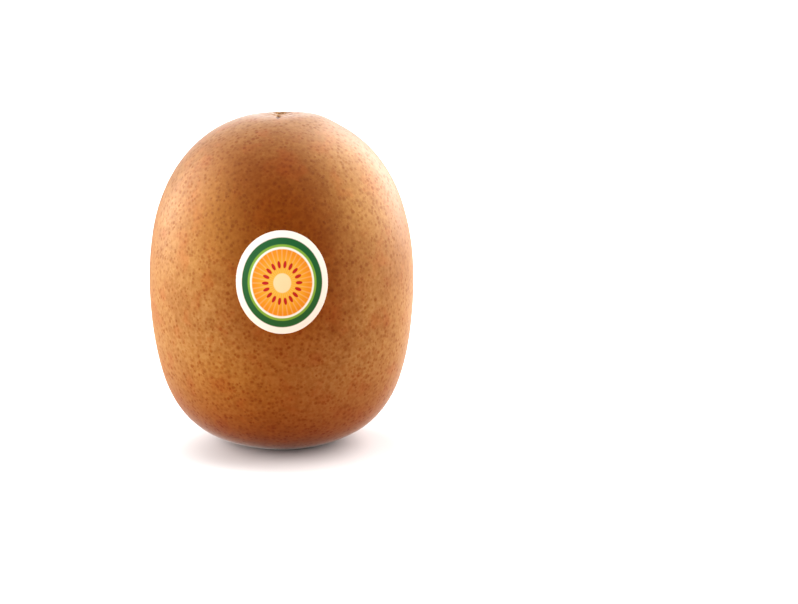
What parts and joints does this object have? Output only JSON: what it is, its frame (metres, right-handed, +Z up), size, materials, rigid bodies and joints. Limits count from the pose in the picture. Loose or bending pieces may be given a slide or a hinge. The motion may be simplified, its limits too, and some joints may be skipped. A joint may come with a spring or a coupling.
{
  "type": "golden kiwi fruit",
  "caption": "Whole golden kiwi fruit with smooth freckled skin, a stem scar on its crown, a dried blossom end below and a small oval label. It stands on its flattened lower end.",
  "frame": {"origin": "under the middle of the fruit, on the surface that it stands on", "axes": "+Z up, from the blossom end to the stem scar; -Y is the front, where the label is; +X is to the right, seen from the front"},
  "size_m": [0.0538, 0.0522, 0.0679],
  "materials": {
    "skin": "satin golden brown fruit skin with fine red-brown freckles",
    "label_paper": "semi-gloss printed paper"
  },
  "bodies": {
    "root": {"fruit": "skin", "label": "label_paper"}
  },
  "joints": []
}
